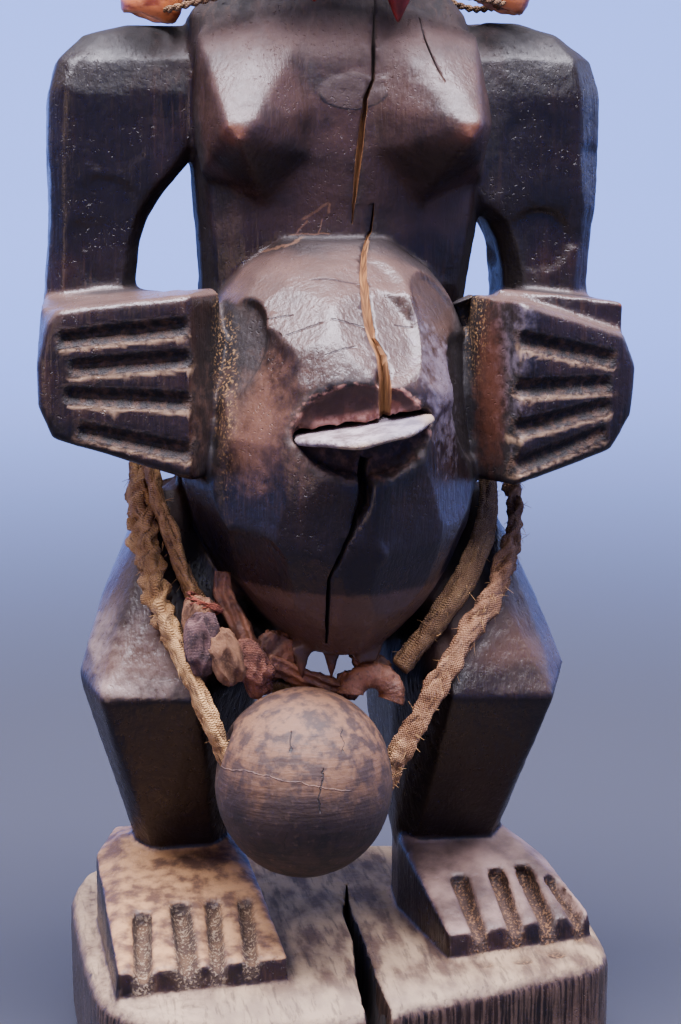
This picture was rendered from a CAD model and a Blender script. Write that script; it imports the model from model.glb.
"""A carved standing power figure, hung with a twisted cloth cord, a wooden ball and a necklace."""

import math

import bmesh
import bpy
import numpy as np
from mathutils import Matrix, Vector
from mathutils.bvhtree import BVHTree
from mathutils.kdtree import KDTree


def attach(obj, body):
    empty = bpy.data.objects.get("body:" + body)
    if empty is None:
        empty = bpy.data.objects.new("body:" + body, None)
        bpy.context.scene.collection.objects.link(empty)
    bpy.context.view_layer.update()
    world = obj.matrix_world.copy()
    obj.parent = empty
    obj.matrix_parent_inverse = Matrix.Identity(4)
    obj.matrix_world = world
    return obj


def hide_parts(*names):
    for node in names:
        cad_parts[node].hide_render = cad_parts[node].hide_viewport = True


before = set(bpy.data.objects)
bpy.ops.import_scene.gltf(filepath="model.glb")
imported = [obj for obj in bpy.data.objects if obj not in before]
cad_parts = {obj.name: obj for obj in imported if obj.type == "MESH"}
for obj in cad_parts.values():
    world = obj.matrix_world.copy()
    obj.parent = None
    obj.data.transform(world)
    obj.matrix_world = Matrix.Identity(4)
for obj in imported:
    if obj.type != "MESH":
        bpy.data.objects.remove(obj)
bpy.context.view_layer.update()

# Studio: a dish-shaped floor that rises far off on every side, dark near the figure and pale blue beyond.
# A large light hangs overhead, a second one lights the far rise, and weak ones stand in front, at the
# sides and behind. The camera stands a little to the figure's right and looks slightly down.
LENS_MM = 80.86
CAMERA_AT = (-0.0835, -0.59416, 0.235)
CAMERA_LOOKS = (0.1440, 0.9766, -0.1597)
# Name, place, what it faces and size, all in metres, then watts and colour
LIGHTS = [
    ("key", (-0.03, -0.26, 1.15), (0, -0.03, 0.15), (1.4, 0.5), 112, (242, 238, 255)),
    ("front", (0.12, -0.95, 0.85), (0, 0, 0.15), (0.7, 0.3), 3, (236, 236, 255)),
    ("fill left", (-0.75, -0.8, 0.3), (0, 0, 0.15), (0.4, 0.5), 3.0, (255, 214, 176)),
    ("fill right", (1.0, -0.35, 0.5), (0, 0, 0.17), (0.4, 0.7), 0.8, (220, 222, 255)),
    ("edge left", (-0.8, 0.35, 0.55), (0, 0, 0.18), (0.5, 0.6), 1.2, (255, 232, 210)),
    ("edge right", (0.85, 0.3, 0.55), (0, 0, 0.18), (0.5, 0.6), 2.0, (208, 216, 255)),
    ("backdrop", (0, 0.9, 1.5), (0, 2.4, 0.3), (1.6, 0.8), 60, (228, 235, 255)),
]
# The floor's outline in metres, from its middle outwards and up
FLOOR_RUN = [
    (0.001, 0.0), (1.7, 0.0), (2.0, 0.04), (2.3, 0.18), (2.5, 0.45), (2.6, 0.9), (2.65, 1.8),
]
FLOOR_SIDES = 96
PAPER_DARK = (42, 44, 56)
PAPER_PALE = (146, 172, 242)
DARK_TO_MM = 300
PALE_FROM_MM = 2300
WORLD_COLOUR = (214, 216, 236)
WORLD_STRENGTH = 0.05


def screen(red, green, blue):
    """A colour as seen on a screen, 0 to 255, in the renderer's own linear values."""
    parts = []
    for part in (red, green, blue):
        share = part / 255
        parts.append(share / 12.92 if share <= 0.04045 else ((share + 0.055) / 1.055) ** 2.4)
    return (*parts, 1.0)


def placed(name, data, *materials):
    """A new object at the origin, with its mesh or other data and its materials."""
    for material in materials:
        data.materials.append(material)
    made = bpy.data.objects.new(name, data)
    bpy.context.scene.collection.objects.link(made)
    return made


def meshed(name, work):
    """Closes the work on a mesh."""
    bmesh.ops.recalc_face_normals(work, faces=work.faces)
    mesh = bpy.data.meshes.new(name)
    work.to_mesh(mesh)
    work.free()
    mesh.shade_smooth()
    return mesh


def round_turns(count):
    """Angles at even steps once round."""
    return np.linspace(0, 2 * math.pi, count, endpoint=False)


def bridged(work, rings, capped=True):
    """Adds the faces between each ring of points and the next, and at both ends."""
    for lower, upper in zip(rings, rings[1:]):
        for k in range(len(lower)):
            after = (k + 1) % len(lower)
            work.faces.new((lower[k], lower[after], upper[after], upper[k]))
    if capped:
        work.faces.new(rings[0][::-1])
        work.faces.new(rings[-1])


def unit(directions):
    """One direction, or a row for each, made 1 long."""
    return directions / np.linalg.norm(directions, axis=-1, keepdims=True)


class Link:
    """One output socket of a material. Sums on it add the Math nodes that they need."""

    def __init__(self, socket):
        self.socket = socket

    def maths(self, operation, *values):
        """A Math node of an operation on some values or links."""
        node = self.socket.id_data.nodes.new("ShaderNodeMath")
        node.operation = operation
        for place, value in enumerate(values):
            feed(node.inputs[place], value)
        return Link(node.outputs[0])

    def __abs__(self):
        return self.maths("ABSOLUTE", self)

    def most(self, other):
        """The larger of this and another."""
        return self.maths("MAXIMUM", self, other)

    def least(self, other):
        """The smaller of this and another."""
        return self.maths("MINIMUM", self, other)

    def step(self, low, high):
        """0 below low, 1 above high (or the other way round), and smooth between them."""
        node = self.socket.id_data.nodes.new("ShaderNodeMapRange")
        node.interpolation_type = "SMOOTHSTEP"
        feed(node.inputs["Value"], self)
        down = low > high
        limits = {"From Min": min(low, high), "From Max": max(low, high), "To Min": down, "To Max": not down}
        for name, value in limits.items():
            node.inputs[name].default_value = float(value)
        return Link(node.outputs["Result"])


for sign, operation in {"add": "ADD", "sub": "SUBTRACT", "mul": "MULTIPLY", "truediv": "DIVIDE"}.items():
    setattr(Link, f"__{sign}__", lambda self, other, kind=operation: self.maths(kind, self, other))
    setattr(Link, f"__r{sign}__", lambda self, other, kind=operation: self.maths(kind, other, self))


def feed(socket, value):
    """Links a Link to an input socket, or sets the input's own value."""
    if isinstance(value, Link):
        socket.id_data.links.new(value.socket, socket)
    else:
        socket.default_value = value


class Finish:
    """A material with its nodes. Its pattern lies on the piece's own coordinates, in millimetres."""

    def __init__(self, name):
        self.material = bpy.data.materials.new(name)
        self.material.use_nodes = True
        self.tree = self.material.node_tree
        self.colour = None
        spot = self.node("ShaderNodeTexCoord", out="Object")
        self.at = self.node("ShaderNodeVectorMath", {0: spot, 1: (1000.0,) * 3}, operation="MULTIPLY")
        parts = self.tree.nodes.new("ShaderNodeSeparateXYZ")
        feed(parts.inputs[0], self.at)
        self.x, self.y, self.z = (Link(parts.outputs[k]) for k in range(3))
        self.wobble = self.noise(2.4, 3, shift=11)

    def node(self, kind, sockets=None, out=0, **settings):
        """A node of a kind, its settings first, then the values or links of its sockets."""
        made = self.tree.nodes.new(kind)
        for key, value in settings.items():
            setattr(made, key, value)
        for key, value in (sockets or {}).items():
            feed(made.inputs[key], value)
        return Link(made.outputs[out])

    def noise(self, size, detail, stretch=(1, 1, 1), shift=0.0):
        """Noise from 0 to 1 with lumps of a size in millimetres, longer where stretch is under 1."""
        scaled = self.node(
            "ShaderNodeVectorMath",
            {0: self.at, 1: tuple(s / size for s in stretch), 2: (shift, shift * 0.7, shift * 1.3)},
            operation="MULTIPLY_ADD",
        )
        settings = {"Vector": scaled, "Scale": 1.0, "Detail": detail, "Roughness": 0.55, "Distortion": 0.0}
        return self.node("ShaderNodeTexNoise", settings, out="Fac")

    def mark(self, name):
        """A value that is stored on the mesh's points."""
        return self.node("ShaderNodeAttribute", out="Fac", attribute_name=name)

    def paint(self, share, under, over):
        """A colour over another, by a share. A plain colour is as seen on a screen, 0 to 255."""
        made = self.tree.nodes.new("ShaderNodeMix")
        made.data_type = "RGBA"
        feed(made.inputs[0], share)
        for place, colour in ((6, under), (7, over)):
            feed(made.inputs[place], screen(*colour) if isinstance(colour, tuple) else colour)
        return Link(made.outputs[2])

    def coat(self, share, over):
        """Lays a colour over the whole surface, by a share."""
        self.colour = self.paint(share, self.colour, over)

    def distance(self, middle, reach):
        """How far off a middle is, 1 at the reach along each axis."""
        off = self.node("ShaderNodeVectorMath", {0: self.at, 1: middle}, operation="SUBTRACT")
        off = self.node("ShaderNodeVectorMath", {0: off, 1: reach}, operation="DIVIDE")
        return self.node("ShaderNodeVectorMath", {0: off}, out="Value", operation="LENGTH")

    def patch(self, middle, reach, ragged, soft):
        """1 inside an egg-shaped patch with a ragged edge, and 0 outside it."""
        far = self.distance(middle, reach)
        return (far + (self.wobble - 0.5) * (2 * ragged)).step(1 + soft, 1 - soft)

    def stroke(self, start, end, inward, width, wander, reach=6.0):
        """1 on a thin wandering line between two points of the surface, and 0 beside it."""
        a, b = np.array(start, float), np.array(end, float)
        way = unit(b - a)
        across = unit(np.cross(way, inward))

        def beside(direction):
            """How far a place lies from the start, along a direction."""
            sockets = {0: self.at, 1: tuple(direction)}
            dot = self.node("ShaderNodeVectorMath", sockets, out="Value", operation="DOT_PRODUCT")
            return dot - float(direction @ a)

        off = beside(across) + (self.wobble - 0.5) * (wander * 2)
        long = beside(way) / float(np.linalg.norm(b - a))
        taper = long.step(-0.02, 0.12) * long.step(1.02, 0.88)
        below = beside(np.cross(across, way))
        return abs(off).step(width, width * 0.35) * taper * abs(below).step(reach + 1, reach)

    def strokes(self, lines, inward, wander):
        """1 on any of some wandering lines, each given by its start, end and width."""
        total = None
        for start, end, width in lines:
            line = self.stroke(start, end, inward, width, wander)
            total = line if total is None else total.most(line)
        return total

    def relief(self, height, distance, strength=1.0):
        """A Bump node from a height of 0 to 1 and the millimetres that 1 stands for."""
        sockets = {"Height": height, "Distance": distance / 1000, "Strength": strength}
        return self.node("ShaderNodeBump", sockets)

    def done(self, roughness, normal=None, **constants):
        """Joins colour, roughness and relief to the shader, and sets its other sockets."""
        sockets = self.tree.nodes["Principled BSDF"].inputs
        feed(sockets["Base Color"], self.colour)
        feed(sockets["Roughness"], roughness)
        if normal is not None:
            feed(sockets["Normal"], normal)
        for key, value in constants.items():
            sockets[key.replace("_", " ")].default_value = value
        return self.material


camera_data = bpy.data.cameras.new("camera")
camera_data.lens = LENS_MM
camera_data.sensor_width = 36
camera_data.sensor_fit = "AUTO"
camera_data.clip_start = 0.01
camera = placed("camera", camera_data)
camera.location = CAMERA_AT
camera.rotation_euler = Vector(CAMERA_LOOKS).to_track_quat("-Z", "Y").to_euler()
bpy.context.scene.camera = camera

for name, at, towards, size, watts, colour in LIGHTS:
    data = bpy.data.lights.new(name, "AREA")
    data.shape = "RECTANGLE"
    data.size, data.size_y = size
    data.energy = watts
    data.color = screen(*colour)[:3]
    lamp = placed(name, data)
    lamp.location = at
    lamp.rotation_euler = (Vector(towards) - Vector(at)).to_track_quat("-Z", "Y").to_euler()

world = bpy.data.worlds.new("studio")
world.use_nodes = True
background = world.node_tree.nodes["Background"].inputs
background["Color"].default_value = screen(*WORLD_COLOUR)
background["Strength"].default_value = WORLD_STRENGTH
bpy.context.scene.world = world

dish = bmesh.new()
rings = [
    [dish.verts.new((reach * math.cos(a), reach * math.sin(a), height)) for a in round_turns(FLOOR_SIDES)]
    for reach, height in FLOOR_RUN
]
bridged(dish, rings, capped=False)
dish.faces.new(rings[0])
paper = Finish("paper")
far = paper.node("ShaderNodeVectorMath", {0: paper.at}, out="Value", operation="LENGTH")
paper.colour = paper.paint(far.step(DARK_TO_MM, PALE_FROM_MM), PAPER_DARK, PAPER_PALE)
floor = placed("floor", meshed("floor", dish), paper.done(0.9))


# Carved figure: base, body and head are one piece of hard brown wood, cut with an adze and a knife,
# blackened and polished by oil and handling. Dust lies on the base and feet, and drying cracks run
# down the front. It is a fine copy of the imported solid, softened, shaved, cut again and cracked.
VOXEL_MM = 0.8
WANTED_TRIANGLES = 182000
CAVITY_AT = (0.5, -69.0, 167.5)
CAVITY_REACH = (17.5, 16.0, 11.0)

# Planes left by the adze on belly and chest: a spot, how deep the cut goes and how far it reaches
ADZE_CUTS = [
    ((0, -56, 192), 1.5, 19), ((1, -42, 203), 1.0, 13), ((20.7, -47, 188), 2.2, 17),
    ((26, -38, 196), 1.2, 12), ((-16.8, -47.7, 195), 1.4, 14), ((-20, -55, 177), 2.2, 17),
    ((-30, -38, 186), 1.4, 14), ((31, -34, 172), 1.8, 17), ((25, -53, 157), 1.8, 16),
    ((14, -65, 147), 1.6, 13), ((-9, -69, 146), 1.2, 14), ((-25, -57, 152), 2.0, 16),
    ((-23, -50, 132), 1.4, 13), ((-7, -58, 130), 1.2, 13), ((12, -58, 131), 1.4, 13),
    ((28, -42, 135), 1.2, 12), ((-33, -36, 138), 1.2, 12), ((32, -20, 190), 1.0, 12),
]
# The way into the hands, and the finger grooves on them from end to end, in millimetres
INTO_HAND = (0.0, 0.989, 0.148)
FINGER_GROOVES = [
    ((-70.5, -45.5, 188.2), (-39.7, -49.8, 191.6)), ((-68, -46, 181.5), (-39, -49.9, 184)),
    ((-69.3, -45.8, 175), (-39, -49.9, 173.6)), ((-66.3, -46.2, 166.8), (-39, -49.9, 161.2)),
    ((41, -48.8, 187.4), (67.5, -40, 181.2)), ((40.2, -48.8, 175.5), (66.5, -40.3, 175.2)),
    ((39.6, -48.9, 165.2), (66.5, -40.3, 169.8)), ((39.6, -48.9, 156), (65.5, -40.6, 163.2)),
]
# The way into the feet, and the toe grooves from the instep to the tips with their widths
INTO_FOOT = (0.0, 0.12, -1.0)
TOE_GROOVES = [
    ((-52, -38.8, 41.9), (-53.5, -66.5, 35.6), 4.8), ((-42.3, -35.8, 42.9), (-42.3, -67, 35.8), 6.2),
    ((-33.8, -35.1, 43.4), (-35.3, -66, 36.2), 4.4), ((-25.6, -34.5, 43.8), (-27, -66.5, 36.4), 4.2),
    ((31.4, -25.3, 43.3), (33.2, -51.5, 35.4), 4.8), ((42, -21.7, 43.2), (43, -50, 34.8), 4.8),
    ((49.3, -19.6, 43), (52.5, -47, 34.6), 4.8), ((56.6, -23, 41.1), (60.8, -40.5, 35.4), 3.2),
]
# Drying cracks: x, y outside the surface, z and width at each station, then the way in and the depth
CRACKS = {
    "chest": ([
        (9.2, -24, 281, 1.1), (9.3, -24, 268, 1.3), (8.9, -24, 257, 1.5), (8.9, -24, 250, 1.0),
        (6.8, -24, 245, 1.5), (6.2, -24, 238, 1.9), (5.3, -24, 231, 2.2), (4.6, -23, 222, 1.5),
        (4.0, -21, 214, 0.3),
    ], (0.12, 1, 0), 9),
    "belly upper": ([
        (9.4, -22, 219, 0.4), (8.9, -22, 213, 0.9), (5.3, -34, 208, 1.6), (3.0, -46, 202, 2.4),
        (2.4, -54, 197, 2.7), (2.3, -60, 191.5, 2.9), (2.7, -64, 187.5, 2.2), (4.4, -66, 185, 3.3),
        (4.9, -68, 179, 3.6), (4.9, -68, 168.5, 3.4),
    ], (0.12, 1, 0), 15),
    "belly lower": ([
        (0.6, -70, 161, 3.0), (-0.5, -70, 155, 2.9), (-0.2, -70, 150.6, 2.6), (-2.0, -70, 148.2, 1.2),
        (-2.7, -70, 144.6, 1.6), (-4.8, -69, 140.2, 1.3), (-5.7, -68, 137, 1.6), (-7.8, -66, 133, 0.9),
        (-7.5, -63, 126, 1.3), (-7.2, -58, 120, 1.1), (-6.4, -51, 113, 0.5),
    ], (0, 1, 0), 13),
    "base": ([
        (8.1, 15, 30, 0.4), (6.3, 3, 30, 1.4), (5.2, -6, 30, 1.6), (4.9, -16, 30, 3.0), (4.6, -28, 30, 2.7),
        (3.2, -44, 30, 4.3), (2.4, -58, 30, 4.6), (1.9, -72, 30, 6.2), (1.4, -92, 30, 7.2),
    ], (0, 0, -1), 21),
    "chest fine": ([
        (21.4, -22, 265, 0.3), (22.0, -23, 260, 0.6), (23.4, -27, 255, 0.5), (24.4, -30, 252, 0.6),
        (25.9, -32, 249, 0.2),
    ], (0, 1, 0), 5),
}


def waves(points, length, seed, octaves=3, stretch=(1, 1, 1)):
    """Smooth noise about -1 to 1 at points in millimetres, with lumps of that length."""
    dice = np.random.default_rng(seed)
    total = np.zeros(len(points))
    for octave in range(octaves):
        size = length / 2 ** octave
        ways = unit(dice.normal(size=(14, 3)))
        ways *= (2 * math.pi / size) * dice.uniform(0.55, 1.25, (14, 1))
        shifts = dice.uniform(0, 2 * math.pi, 14)
        total += np.sin(points @ (ways * np.array(stretch)).T + shifts).sum(1) / 3.7 / 2 ** octave
    return total / 1.6


def read(items, name, width, kind=float):
    """Values of a mesh's points or edges, a row for each."""
    flat = np.empty(len(items) * width, kind)
    items.foreach_get(name, flat)
    return flat.reshape(-1, width)


def corners_of(mesh):
    """A mesh's points in millimetres."""
    return read(mesh.vertices, "co", 3) * 1000


def put_corners(mesh, points):
    """Moves a mesh's points, given in millimetres."""
    mesh.vertices.foreach_set("co", (points / 1000).ravel())
    mesh.update()


def outwards(mesh):
    """The outward direction at each point."""
    return read(mesh.vertex_normals, "vector", 3)


def averaged(values, ends, rounds, share=0.5):
    """Values of points, each drawn by a share towards the mean of its neighbours, again and again."""
    count = np.maximum(np.bincount(ends.ravel(), minlength=len(values)), 1)
    flat = values.ndim == 1
    current = values[:, None] if flat else values
    weight = share[:, None] if isinstance(share, np.ndarray) else share
    for _ in range(rounds):
        near = np.empty_like(current)
        for k in range(current.shape[1]):
            near[:, k] = np.bincount(ends[:, 0], current[ends[:, 1], k], len(current))
            near[:, k] += np.bincount(ends[:, 1], current[ends[:, 0], k], len(current))
        current = current + weight * (near / count[:, None] - current)
    return current[:, 0] if flat else current


def step(values, low, high):
    """0 below low, 1 above high, and smooth between them."""
    share = np.clip((values - low) / (high - low), 0, 1)
    return share * share * (3 - 2 * share)


def within(values, low, high, soft):
    """1 between low and high, fading to 0 outside them."""
    return step(values, low - soft, low) * step(-values, -high - soft, -high)


def finished(mesh, *modifiers):
    """The mesh after modifiers, each a kind and its settings."""
    blank = placed("blank", mesh)
    for kind, settings in modifiers:
        modifier = blank.modifiers.new(kind.lower(), kind)
        for key, value in settings.items():
            setattr(modifier, key, value)
    result = bpy.data.meshes.new_from_object(blank.evaluated_get(bpy.context.evaluated_depsgraph_get()))
    bpy.data.objects.remove(blank)
    return result


def stand_for(piece, node):
    """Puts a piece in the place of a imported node."""
    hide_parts(node)
    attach(piece, "root")
    return piece


def joined_copy(node):
    """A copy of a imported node's mesh with its corners joined."""
    work = bmesh.new()
    work.from_mesh(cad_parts[node].data)
    bmesh.ops.remove_doubles(work, verts=work.verts, dist=1e-6)
    return meshed(node, work)


def tree_of(points):
    """A search tree of points."""
    tree = KDTree(len(points))
    for i, point in enumerate(points):
        tree.insert(point, i)
    tree.balance()
    return tree


def along(points, start, end, inward):
    """Where points lie beside a line: share of its length, offset across it and depth below it."""
    a, b = np.array(start, float), np.array(end, float)
    way = unit(b - a)
    into = np.array(inward, float)
    into = unit(into - way * (into @ way))
    from_start = points - a
    return (from_start @ way) / np.linalg.norm(b - a), from_start @ np.cross(way, into), from_start @ into


def shave(tree, points, normals, spot, depth, reach, lean=(0, 0, 0)):
    """Cuts what stands proud of a plane at a spot, no farther off than its reach."""
    centre, middle, _ = tree.find(spot)
    near = np.array([i for _, i, _ in tree.find_range(centre, reach)])
    facing = unit(normals[middle] + np.array(lean))
    from_middle = points[near] - points[middle]
    over = np.maximum(from_middle @ facing + depth, 0)
    share = step(-np.linalg.norm(from_middle, axis=1), -reach, -reach * 0.8) * (normals[near] @ facing > 0.2)
    points[near] -= facing * (over * share)[:, None]


wood_mesh = finished(joined_copy("figure"), ("REMESH", {"mode": "VOXEL", "voxel_size": VOXEL_MM / 1000}))
points = corners_of(wood_mesh)
ends = read(wood_mesh.edges, "vertices", 2, np.int32)

# The rounded parts are softened more than the hands, knees, feet and base, and the prongs not at all
x, y, z = points.T
belly = step(-y, 22, 34) * within(z, 116, 206, 9) * within(x, -32, 32, 8)
chest = step(-y, 12, 20) * within(z, 220, 266, 8) * within(x, -40, 40, 6)
head = step(z, 284, 290)
prongs = within(x, -17, 0.5, 1) * within(y, -46, -30, 2) * within(z, 95, 110, 2)
softness = (0.1 + 0.36 * belly + 0.3 * chest + 0.25 * head) * (1 - prongs)
points = averaged(points, ends, 10, softness)
points = averaged(points, ends, 2, 0.3 * (1 - prongs))
points[:, 2] -= 0.5 * prongs * np.maximum(108.5 - z, 0)
put_corners(wood_mesh, points)

# Adze planes: the broad ones on the belly and chest, and shallow ones on the back and head
normals = unit(averaged(outwards(wood_mesh), ends, 14))
tree = tree_of(points)
for spot, depth, reach in ADZE_CUTS:
    shave(tree, points, normals, spot, depth, reach)
dice = np.random.default_rng(11)
x, y, z = points.T
roomy = (y > 4) & (z > 126) & (np.abs(x) < 46) & (np.abs(x) > 13) | (z > 286) | (np.abs(x) > 50) & (z > 205)
cells = set()
for i in dice.permutation(np.flatnonzero(roomy)):
    cell = tuple((points[i] // 15).astype(int))
    if cell not in cells:
        cells.add(cell)
        shave(tree, points, normals, points[i], 0.28, 9, dice.normal(0, 0.03, 3))
points = averaged(points, ends, 2, 0.3 * (1 - prongs))

# Hand-cut unevenness, and chips along the rim of the base
rough = 0.09 * waves(points, 20, 3) + 0.06 * waves(points, 5, 4)
sharp = -((averaged(points, ends, 8) - points) * normals).sum(1)
chips = step(waves(points, 5, 5, 2), 0.3, 0.8) * step(sharp, 0.15, 0.5) * within(z, 26, 34, 1)
points += normals * (rough * (1 - prongs) - 0.9 * chips)[:, None]

# The grooves get a dark floor and a worn lower lip. The toes' are widened as they were gouged
groove, lip = np.zeros(len(points)), np.zeros(len(points))
for start, end in FINGER_GROOVES:
    share, across, depth = along(points, start, end, INTO_HAND)
    if np.cross(np.subtract(end, start), INTO_HAND)[2] < 0:
        across = -across
    inside = within(share, 0.02, 0.98, 0.06) * step(-np.abs(depth), -5, -3.4)
    groove = np.maximum(groove, inside * within(across, -2.0, 2.2, 0.7))
    lip = np.maximum(lip, inside * within(across, -2.9, -2.5, 0.4))
for start, end, width in TOE_GROOVES:
    share, across, depth = along(points, start, end, INTO_FOOT)
    inside = within(share, 0.03, 1.1, 0.06) * step(-np.abs(depth), -6, -4)
    profile = inside * step(-np.abs(across), -width / 2 - 0.2, -width / 2 + 1.5)
    points += np.array(INTO_FOOT) * (0.7 * profile)[:, None]
    groove = np.maximum(groove, inside * step(-np.abs(across), -width / 2 - 0.4, -width / 2 + 0.6))

# The cavity's mouth is ragged, and a healed knot stands proud between the breasts
x, y, z = points.T
hole = np.linalg.norm((points - CAVITY_AT) / CAVITY_REACH, axis=1)
floor_y = -64 + 0.015 * (x - 0.5) ** 2
sunk = step(-hole, -1.12, -1.02) * (y > floor_y) * (y < -50)
points[:, 1] -= sunk * 0.78 * np.maximum(y - floor_y, 0)
points += normals * (step(-np.abs(hole - 1.02), -0.14, -0.02) * 0.5 * waves(points, 4.5, 8, 3))[:, None]
knot = np.hypot((x - 4) / 8.4, (z - 246.8 - 0.12 * (x - 4)) / 4.6) + 0.1 * waves(points, 5, 9, 2)
on_knot = step(-knot, -1.04, -0.94) * step(-y, 15, 18)
points += normals * (on_knot * (0.22 + 0.1 * waves(points, 3, 10, 2)))[:, None]
points[:, 2] = np.maximum(points[:, 2], 0)
put_corners(wood_mesh, points)

normals = outwards(wood_mesh)
bend = averaged(-((averaged(points, ends, 4) - points) * normals).sum(1), ends, 2)
known = tree_of(points)
faces = sum(len(p.vertices) - 2 for p in wood_mesh.polygons)
slim = finished(wood_mesh, ("DECIMATE", {"ratio": min(1, WANTED_TRIANGLES / faces)}))


def run_along(line):
    """How far along a line each of its points lies."""
    return np.concatenate([[0], np.cumsum(np.linalg.norm(np.diff(line, axis=0), axis=1))])


def crack_cutter(name, stations, into, depth, seed):
    """A closed wedge that follows the stations, as a mesh."""
    dice = np.random.default_rng(seed)
    stations = np.array(stations, float)
    into = unit(np.array(into, float))
    run = run_along(stations[:, :3])
    at = np.linspace(0, run[-1], int(run[-1] / 2.6) + 1)
    line = np.stack([np.interp(at, run, stations[:, k]) for k in range(4)], 1)
    way = np.gradient(line[:, :3], axis=0)
    work = bmesh.new()
    rings = []
    for k, (px, py, pz, width) in enumerate(line):
        side = unit(np.cross(way[k], into))
        left, right = width / 2 * dice.uniform(0.88, 1.14, 2)
        centre = np.array([px, py, pz]) + side * dice.normal(0, 0.07)
        ring = [
            centre - side * left - into * 7, centre + side * right - into * 7,
            centre + side * right * 0.97, centre + side * right * 0.7 + into * depth * 0.6,
            centre + into * depth,
            centre - side * left * 0.7 + into * depth * 0.6, centre - side * left * 0.97,
        ]
        rings.append([work.verts.new(p / 1000) for p in ring])
    bridged(work, rings, capped=False)
    work.faces.new(rings[0])
    work.faces.new(rings[-1])
    bmesh.ops.triangulate(work, faces=work.faces)
    return meshed(name, work)


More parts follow.
